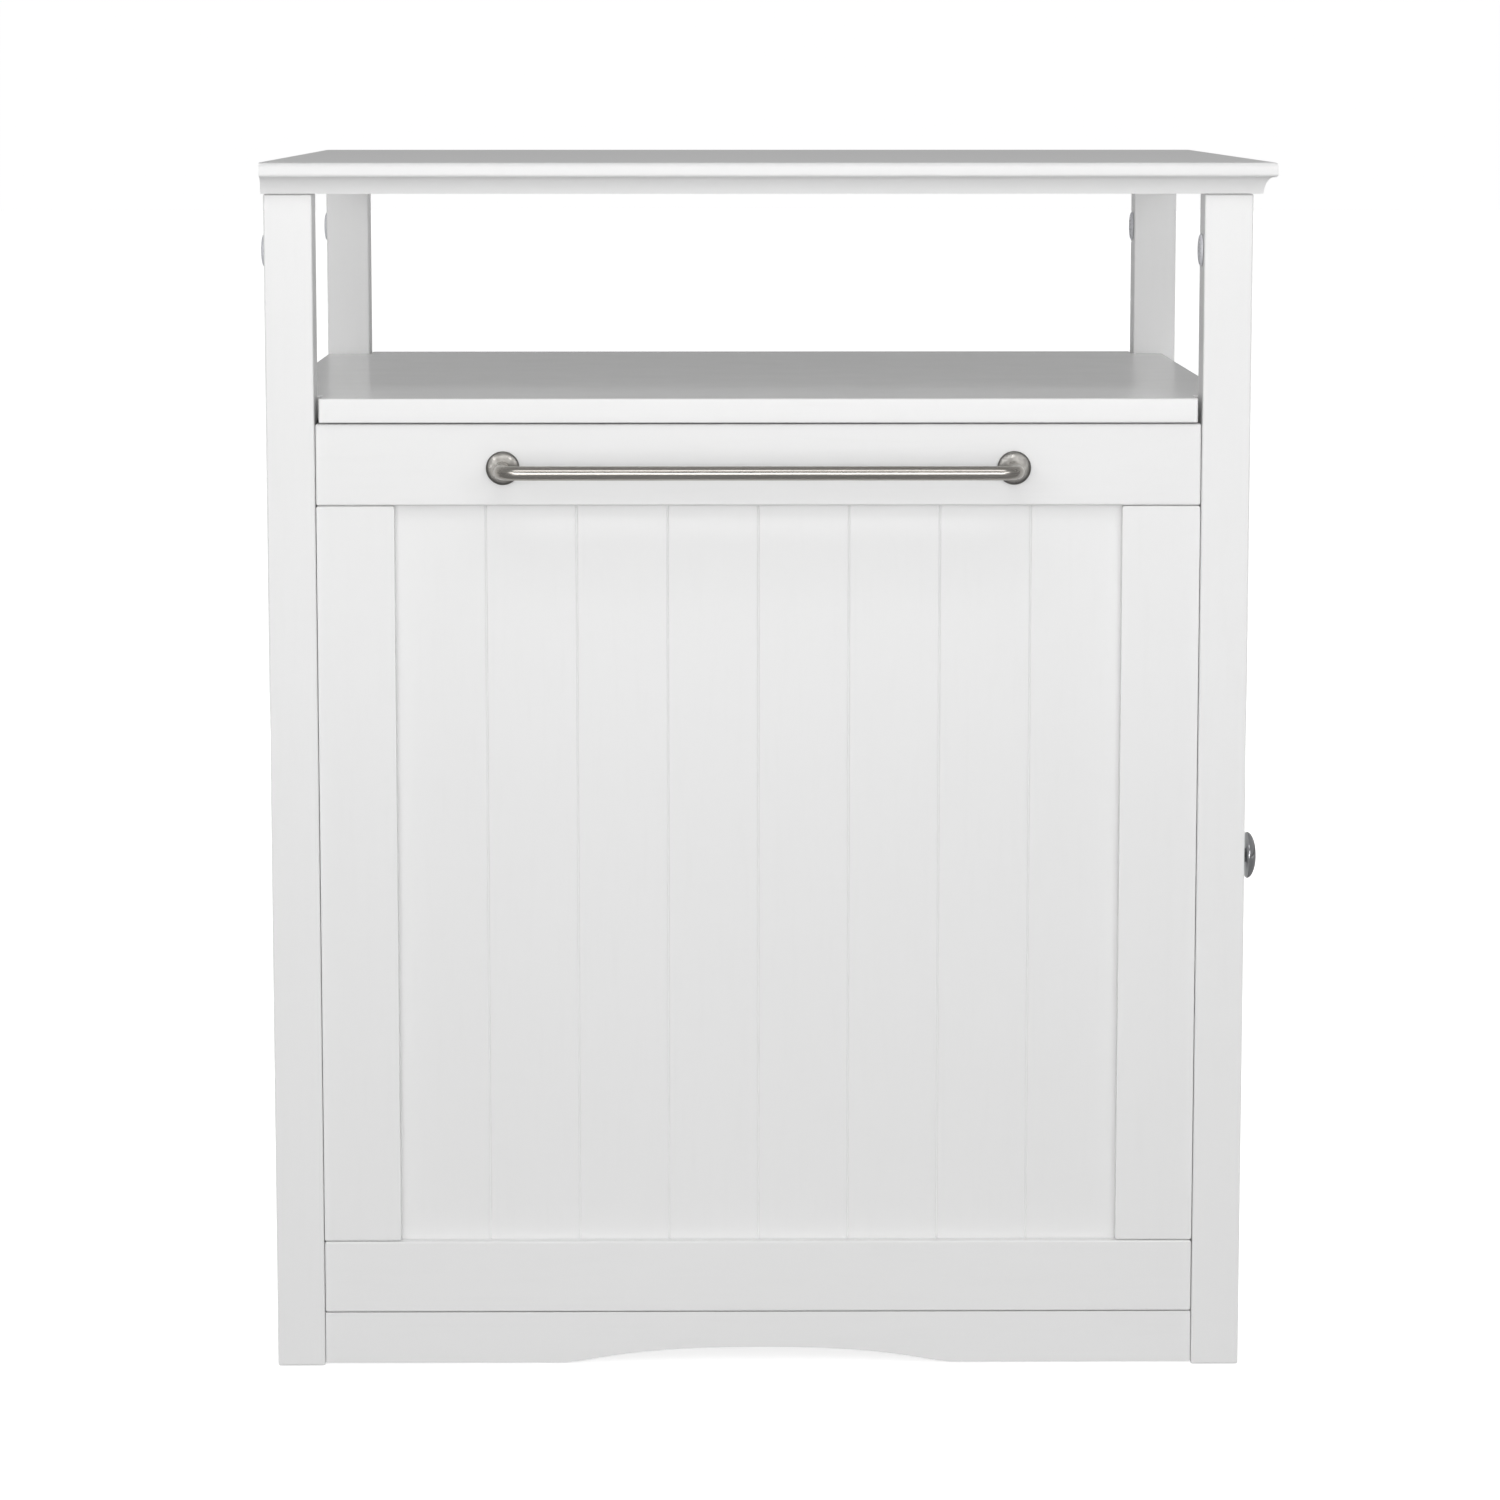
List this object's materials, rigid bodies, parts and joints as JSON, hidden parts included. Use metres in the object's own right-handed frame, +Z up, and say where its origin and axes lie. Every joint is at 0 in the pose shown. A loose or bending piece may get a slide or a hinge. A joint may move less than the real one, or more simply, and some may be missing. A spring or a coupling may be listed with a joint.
{
  "type": "kitchen bin cabinet",
  "caption": "Free-standing white cabinet with a beadboard front that pulls out with waste bins, an open bay under the top and a side cupboard door.",
  "frame": {"origin": "middle of the cabinet's bounding box, on the floor", "axes": "+Z up; the pull-out front faces -Y; the side door and the right overhang of the top face +X"},
  "size_m": [0.6282, 0.582, 0.762],
  "materials": {
    "white_paint": "satin white lacquer, sprayed, softly rounded edges",
    "white_board": "matt white melamine-faced board",
    "cap_plastic": "glossy white moulded cap",
    "bin_plastic": "fine-textured dark grey polypropylene",
    "zinc_steel": "bright zinc-plated steel",
    "brushed_nickel": "brushed nickel",
    "chrome": "polished chrome",
    "catch_plastic": "brown moulded plastic"
  },
  "bodies": {
    "cabinet": {"top_board": "white_paint", "front_left_post": "white_paint", "front_right_post": "white_paint", "rear_left_post": "white_paint", "rear_right_post": "white_paint", "middle_shelf": "white_paint", "front_apron": "white_paint", "right_apron": "white_paint", "left_side_panel": "white_paint", "back_panel": "white_board", "bottom_board": "white_board", "partition": "white_board", "side_cupboard_front_board": "white_board", "side_cupboard_shelf": "white_board", "side_cupboard_shelf_cleat": "white_board", "slide_spacer_rail": "white_board", "front_left_cam_cap": "cap_plastic", "front_right_cam_cap": "cap_plastic", "rear_left_cam_cap": "cap_plastic", "rear_right_cam_cap": "cap_plastic", "left_slide_cabinet_member": "zinc_steel", "right_slide_cabinet_member": "zinc_steel", "lower_hinge_post_leaf": "zinc_steel", "lower_hinge_pin": "zinc_steel", "upper_hinge_post_leaf": "zinc_steel", "upper_hinge_pin": "zinc_steel", "door_catch": "catch_plastic"},
    "pull_out": {"pull_out_header": "white_paint", "pull_out_bottom_rail": "white_paint", "pull_out_left_stile": "white_paint", "pull_out_right_stile": "white_paint", "pull_out_bead_panel": "white_paint", "pull_out_box_left": "white_board", "pull_out_box_right": "white_board", "pull_out_box_front": "white_board", "pull_out_box_back": "white_board", "pull_out_box_base": "white_board", "front_bin": "bin_plastic", "rear_bin": "bin_plastic", "left_slide_drawer_member": "zinc_steel", "right_slide_drawer_member": "zinc_steel", "handle_left_screw": "zinc_steel", "handle_right_screw": "zinc_steel", "handle_bar": "brushed_nickel", "handle_left_flange": "brushed_nickel", "handle_right_flange": "brushed_nickel"},
    "left_slide_middle": {"left_slide_middle_member": "zinc_steel"},
    "right_slide_middle": {"right_slide_middle_member": "zinc_steel"},
    "side_door": {"side_door_header": "white_paint", "side_door_bottom_rail": "white_paint", "side_door_left_stile": "white_paint", "side_door_right_stile": "white_paint", "side_door_bead_panel": "white_paint", "lower_hinge_door_leaf": "zinc_steel", "upper_hinge_door_leaf": "zinc_steel", "side_door_knob_screw": "zinc_steel", "door_strike_plate": "zinc_steel", "side_door_knob": "chrome"}
  },
  "joints": [
    {"name": "pull_out_slide", "type": "slide", "parent": "cabinet", "child": "pull_out", "axis": [0, -1, 0], "range_m": [0, 0.44]},
    {"name": "left_slide_middle_run", "type": "slide", "parent": "cabinet", "child": "left_slide_middle", "axis": [0, -1, 0], "range_m": [0, 0.22]},
    {"name": "right_slide_middle_run", "type": "slide", "parent": "cabinet", "child": "right_slide_middle", "axis": [0, -1, 0], "range_m": [0, 0.22]},
    {"name": "side_door_hinge", "type": "hinge", "parent": "cabinet", "child": "side_door", "pos_m": [0.2946, 0.25575, 0.3], "axis": [0, 0, 1], "range_deg": [0, 110]}
  ],
  "couplings": [
    {"joint": "left_slide_middle_run", "follows": "pull_out_slide", "ratio": 0.5},
    {"joint": "right_slide_middle_run", "follows": "pull_out_slide", "ratio": 0.5}
  ]
}
